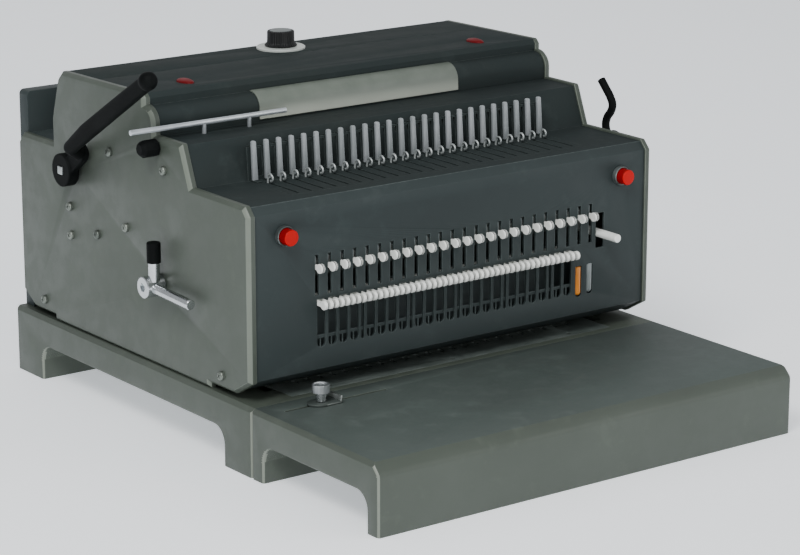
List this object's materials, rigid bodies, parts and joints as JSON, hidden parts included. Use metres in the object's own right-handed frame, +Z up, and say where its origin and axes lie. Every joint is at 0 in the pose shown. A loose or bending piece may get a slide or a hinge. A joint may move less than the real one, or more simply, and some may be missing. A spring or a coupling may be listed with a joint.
{
  "type": "comb binding machine",
  "caption": "Desk comb and coil binding machine: arched base with sheet table, punch body between side plates, comb opener row, levers, pull pins and push buttons.",
  "frame": {"origin": "on the floor under the middle of the front foot of the main base, in the mid plane", "axes": "+X to the operator's right, +Y from the operator to the back, +Z up"},
  "size_m": [0.5344, 0.633, 0.356],
  "materials": {
    "cast_paint": "satin",
    "table_paint": "satin",
    "cover_paint": "satin",
    "top_paint": "satin",
    "die_steel": "satin",
    "bright_steel": "polished",
    "zinc": "satin",
    "guard_plastic": "satin",
    "finger_plastic": "satin",
    "black_plastic": "satin",
    "black_metal": "satin",
    "red_plastic": "gloss",
    "white_plastic": "satin",
    "orange_plastic": "satin",
    "motor_iron": "matt"
  },
  "bodies": {
    "machine_frame": {"machine_base": "cast_paint", "front_table": "table_paint", "die_plate": "die_steel", "machine_screws": "zinc", "left_side_plate": "cast_paint", "right_side_plate": "cast_paint", "front_cover": "cover_paint", "comb_deck": "top_paint", "top_cover": "top_paint", "curved_guard": "guard_plastic", "back_cover": "cover_paint", "comb_fingers": "finger_plastic", "guide_rod": "bright_steel", "dial_ring": "white_plastic", "button_bezels": "zinc", "gear_motor": "motor_iron", "power_inlet": "black_plastic", "marker_pins": "orange_plastic"},
    "opener": {"opener_shaft": "zinc", "left_lever": "black_metal"},
    "comb_slide": {"comb_hooks": "zinc"},
    "wire_lever": {"right_lever": "black_metal"},
    "size_knob": {"side_knob": "black_plastic"},
    "crank": {"crank_handle": "bright_steel", "crank_grip": "black_plastic"},
    "dial": {"dial_knob": "black_plastic"},
    "oval_left": {"oval_button_left": "red_plastic"},
    "oval_right": {"oval_button_right": "red_plastic"},
    "button_left": {"punch_button_left": "red_plastic"},
    "button_right": {"punch_button_right": "red_plastic"},
    "selector": {"selector_lever": "white_plastic"},
    "coil_slide": {"coil_pins": "white_plastic"},
    "drive": {"drive_shaft": "zinc"},
    "punch_slide": {"punch_bar": "die_steel"},
    "stop_slide": {"side_stop": "zinc"},
    "thumbscrew": {"stop_thumbscrew": "bright_steel"},
    "pin_01": {"pull_pin_01": "white_plastic"},
    "pin_02": {"pull_pin_02": "white_plastic"},
    "pin_03": {"pull_pin_03": "white_plastic"},
    "pin_04": {"pull_pin_04": "white_plastic"},
    "pin_05": {"pull_pin_05": "white_plastic"},
    "pin_06": {"pull_pin_06": "white_plastic"},
    "pin_07": {"pull_pin_07": "white_plastic"},
    "pin_08": {"pull_pin_08": "white_plastic"},
    "pin_09": {"pull_pin_09": "white_plastic"},
    "pin_10": {"pull_pin_10": "white_plastic"},
    "pin_11": {"pull_pin_11": "white_plastic"},
    "pin_12": {"pull_pin_12": "white_plastic"},
    "pin_13": {"pull_pin_13": "white_plastic"},
    "pin_14": {"pull_pin_14": "white_plastic"},
    "pin_15": {"pull_pin_15": "white_plastic"},
    "pin_16": {"pull_pin_16": "white_plastic"},
    "pin_17": {"pull_pin_17": "white_plastic"},
    "pin_18": {"pull_pin_18": "white_plastic"},
    "pin_19": {"pull_pin_19": "white_plastic"},
    "pin_20": {"pull_pin_20": "white_plastic"},
    "pin_21": {"pull_pin_21": "white_plastic"},
    "pin_22": {"pull_pin_22": "white_plastic"},
    "pin_23": {"pull_pin_23": "white_plastic"},
    "pin_24": {"pull_pin_24": "white_plastic"}
  },
  "joints": [
    {"name": "opener_turn", "type": "hinge", "parent": "machine_frame", "child": "opener", "pos_m": [-0.25, 0.292, 0.233], "axis": [1, 0, 0], "range_deg": [-80, 0]},
    {"name": "comb_open", "type": "slide", "parent": "machine_frame", "child": "comb_slide", "axis": [0, -1, 0], "range_m": [0, 0.036]},
    {"name": "wire_lever_turn", "type": "hinge", "parent": "machine_frame", "child": "wire_lever", "pos_m": [0.245, 0.057, 0.233], "axis": [1, 0, 0], "range_deg": [-30, 0]},
    {"name": "size_knob_turn", "type": "hinge", "parent": "machine_frame", "child": "size_knob", "pos_m": [-0.25, 0.137, 0.282], "axis": [1, 0, 0], "range_deg": [-150, 150]},
    {"name": "crank_turn", "type": "hinge", "parent": "machine_frame", "child": "crank", "pos_m": [-0.25, 0.133, 0.15], "axis": [1, 0, 0], "range_deg": [-30, 30]},
    {"name": "dial_turn", "type": "hinge", "parent": "machine_frame", "child": "dial", "pos_m": [0, 0.283, 0.33], "axis": [0, 0, 1], "range_deg": [-150, 150]},
    {"name": "oval_press_left", "type": "slide", "parent": "machine_frame", "child": "oval_left", "axis": [0, 0, -1], "range_m": [0, 0.003], "stiffness_N_per_m": 300},
    {"name": "oval_press_right", "type": "slide", "parent": "machine_frame", "child": "oval_right", "axis": [0, 0, -1], "range_m": [0, 0.003], "stiffness_N_per_m": 300},
    {"name": "button_press_left", "type": "slide", "parent": "machine_frame", "child": "button_left", "axis": [0, 1, 0], "range_m": [0, 0.005], "stiffness_N_per_m": 300},
    {"name": "button_press_right", "type": "slide", "parent": "machine_frame", "child": "button_right", "axis": [0, 1, 0], "range_m": [0, 0.005], "stiffness_N_per_m": 300},
    {"name": "selector_turn", "type": "hinge", "parent": "machine_frame", "child": "selector", "pos_m": [0.1765, 0.024, 0.1666], "axis": [1, 0, 0], "range_deg": [-16, 12]},
    {"name": "coil_move", "type": "slide", "parent": "machine_frame", "child": "coil_slide", "axis": [0, 0, -1], "range_m": [0, 0.026]},
    {"name": "drive_turn", "type": "hinge", "parent": "machine_frame", "child": "drive", "pos_m": [0, 0.13, 0.15], "axis": [1, 0, 0], "continuous": true},
    {"name": "punch_move", "type": "slide", "parent": "machine_frame", "child": "punch_slide", "axis": [0, 0, -1], "range_m": [0, 0.022]},
    {"name": "stop_move", "type": "slide", "parent": "machine_frame", "child": "stop_slide", "axis": [1, 0, 0], "range_m": [-0.03, 0.065]},
    {"name": "thumbscrew_turn", "type": "hinge", "parent": "stop_slide", "child": "thumbscrew", "pos_m": [-0.184, -0.0475, 0.075], "axis": [0, 0, 1], "range_deg": [-180, 180]},
    {"name": "pin_pull_01", "type": "slide", "parent": "punch_slide", "child": "pin_01", "axis": [0, -1, 0], "range_m": [0, 0.006]},
    {"name": "pin_pull_02", "type": "slide", "parent": "punch_slide", "child": "pin_02", "axis": [0, -1, 0], "range_m": [0, 0.006]},
    {"name": "pin_pull_03", "type": "slide", "parent": "punch_slide", "child": "pin_03", "axis": [0, -1, 0], "range_m": [0, 0.006]},
    {"name": "pin_pull_04", "type": "slide", "parent": "punch_slide", "child": "pin_04", "axis": [0, -1, 0], "range_m": [0, 0.006]},
    {"name": "pin_pull_05", "type": "slide", "parent": "punch_slide", "child": "pin_05", "axis": [0, -1, 0], "range_m": [0, 0.006]},
    {"name": "pin_pull_06", "type": "slide", "parent": "punch_slide", "child": "pin_06", "axis": [0, -1, 0], "range_m": [0, 0.006]},
    {"name": "pin_pull_07", "type": "slide", "parent": "punch_slide", "child": "pin_07", "axis": [0, -1, 0], "range_m": [0, 0.006]},
    {"name": "pin_pull_08", "type": "slide", "parent": "punch_slide", "child": "pin_08", "axis": [0, -1, 0], "range_m": [0, 0.006]},
    {"name": "pin_pull_09", "type": "slide", "parent": "punch_slide", "child": "pin_09", "axis": [0, -1, 0], "range_m": [0, 0.006]},
    {"name": "pin_pull_10", "type": "slide", "parent": "punch_slide", "child": "pin_10", "axis": [0, -1, 0], "range_m": [0, 0.006]},
    {"name": "pin_pull_11", "type": "slide", "parent": "punch_slide", "child": "pin_11", "axis": [0, -1, 0], "range_m": [0, 0.006]},
    {"name": "pin_pull_12", "type": "slide", "parent": "punch_slide", "child": "pin_12", "axis": [0, -1, 0], "range_m": [0, 0.006]},
    {"name": "pin_pull_13", "type": "slide", "parent": "punch_slide", "child": "pin_13", "axis": [0, -1, 0], "range_m": [0, 0.006]},
    {"name": "pin_pull_14", "type": "slide", "parent": "punch_slide", "child": "pin_14", "axis": [0, -1, 0], "range_m": [0, 0.006]},
    {"name": "pin_pull_15", "type": "slide", "parent": "punch_slide", "child": "pin_15", "axis": [0, -1, 0], "range_m": [0, 0.006]},
    {"name": "pin_pull_16", "type": "slide", "parent": "punch_slide", "child": "pin_16", "axis": [0, -1, 0], "range_m": [0, 0.006]},
    {"name": "pin_pull_17", "type": "slide", "parent": "punch_slide", "child": "pin_17", "axis": [0, -1, 0], "range_m": [0, 0.006]},
    {"name": "pin_pull_18", "type": "slide", "parent": "punch_slide", "child": "pin_18", "axis": [0, -1, 0], "range_m": [0, 0.006]},
    {"name": "pin_pull_19", "type": "slide", "parent": "punch_slide", "child": "pin_19", "axis": [0, -1, 0], "range_m": [0, 0.006]},
    {"name": "pin_pull_20", "type": "slide", "parent": "punch_slide", "child": "pin_20", "axis": [0, -1, 0], "range_m": [0, 0.006]},
    {"name": "pin_pull_21", "type": "slide", "parent": "punch_slide", "child": "pin_21", "axis": [0, -1, 0], "range_m": [0, 0.006]},
    {"name": "pin_pull_22", "type": "slide", "parent": "punch_slide", "child": "pin_22", "axis": [0, -1, 0], "range_m": [0, 0.006]},
    {"name": "pin_pull_23", "type": "slide", "parent": "punch_slide", "child": "pin_23", "axis": [0, -1, 0], "range_m": [0, 0.006]},
    {"name": "pin_pull_24", "type": "slide", "parent": "punch_slide", "child": "pin_24", "axis": [0, -1, 0], "range_m": [0, 0.006]}
  ],
  "couplings": [
    {"joint": "comb_open", "follows": "opener_turn", "m_per_rad": -0.0255}
  ]
}
